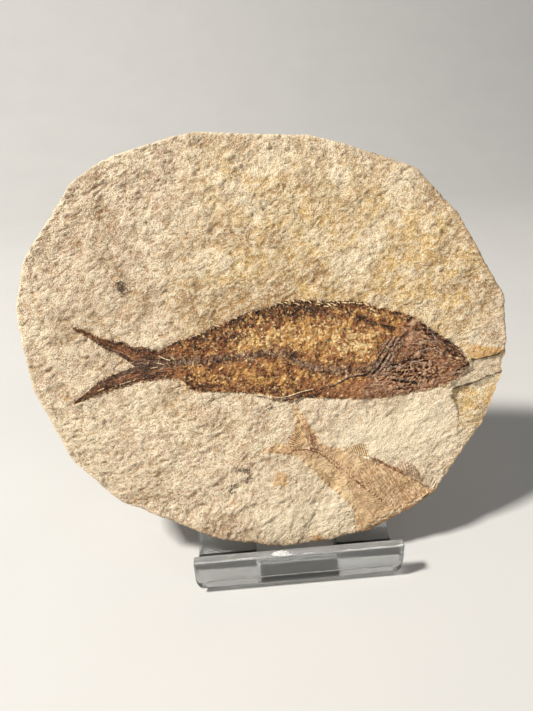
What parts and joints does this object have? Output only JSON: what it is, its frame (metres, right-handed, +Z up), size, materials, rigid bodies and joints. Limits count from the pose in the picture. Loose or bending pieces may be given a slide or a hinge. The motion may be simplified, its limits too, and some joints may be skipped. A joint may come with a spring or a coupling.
{
  "type": "fossil fish slab on a display easel",
  "caption": "Rounded slab of fine tan stone with a large dark fossil fish and a smaller pale one cut off by the edge, leaning back in a clear bent-sheet easel",
  "frame": {"origin": "on the surface that the easel stands on, in the middle of the flat strip under the ledge, just behind the front lip", "axes": "+Z up; the fish face the viewer at -Y; +X to the viewer's right, across the slab and along the easel's lip"},
  "size_m": [0.1365, 0.0593, 0.1152],
  "materials": {
    "tan_stone": "matte split stone, grainy",
    "dark_fossil": "dark brown bone and scale film, slight sheen",
    "light_fossil": "pale brown bone film, matte",
    "clear_acrylic": "clear, polished faces, lightly scratched, sawn edges"
  },
  "bodies": {
    "root": {"slab": "tan_stone", "large_fish": "dark_fossil", "small_fish": "light_fossil", "stand": "clear_acrylic"}
  },
  "joints": []
}
